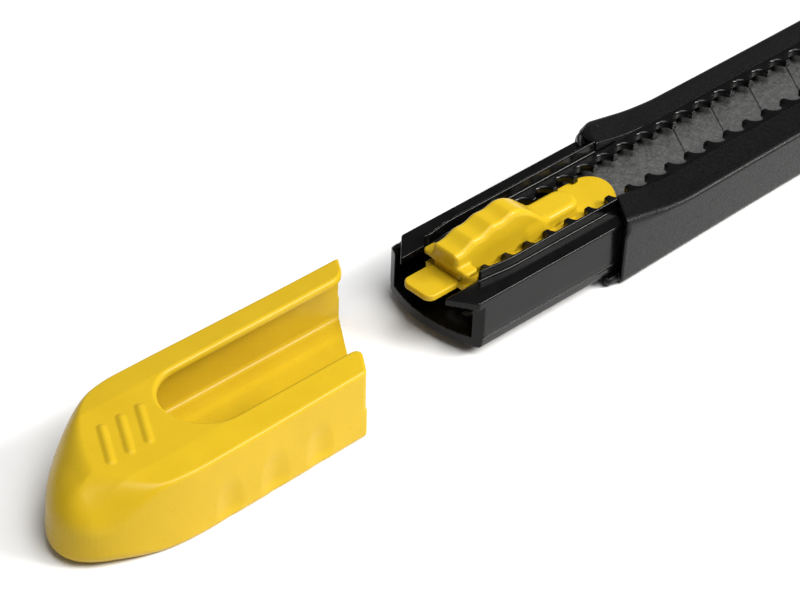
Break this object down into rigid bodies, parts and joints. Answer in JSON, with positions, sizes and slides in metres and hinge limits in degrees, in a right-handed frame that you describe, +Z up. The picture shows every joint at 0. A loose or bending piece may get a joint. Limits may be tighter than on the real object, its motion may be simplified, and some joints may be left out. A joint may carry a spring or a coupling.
{
  "type": "utility knife",
  "caption": "Slim snap-off utility knife with a soft grip, sliding thumb button and pull-off end cap, shown with the cap drawn off the rear",
  "frame": {"origin": "under the middle of the whole object with its cap pulled off, on the plane that it rests on", "axes": "+X along the knife towards the blade's tip, +Y to the user's left, +Z up out of the slot"},
  "size_m": [0.16, 0.0142, 0.0092],
  "materials": {
    "body_plastic": "semi-gloss moulded black",
    "grip_rubber": "fine matt grain",
    "guide_metal": "satin",
    "cap_plastic": "smooth yellow",
    "slider_plastic": "smooth yellow",
    "spring_metal": "bright",
    "blade_steel": "ground satin steel"
  },
  "bodies": {
    "knife": {"body_channel": "body_plastic", "grip_sleeve": "grip_rubber", "nose_guide": "guide_metal"},
    "cap": {"end_cap": "cap_plastic"},
    "slider": {"slider_button": "slider_plastic", "slider_carrier": "slider_plastic", "friction_spring": "spring_metal", "blade": "blade_steel"}
  },
  "joints": [
    {"name": "cap_slide", "type": "slide", "parent": "knife", "child": "cap", "axis": [1, 0, 0], "range_m": [0, 0.0279]},
    {"name": "slider_slide", "type": "slide", "parent": "knife", "child": "slider", "axis": [1, 0, 0], "range_m": [0, 0.075]}
  ]
}
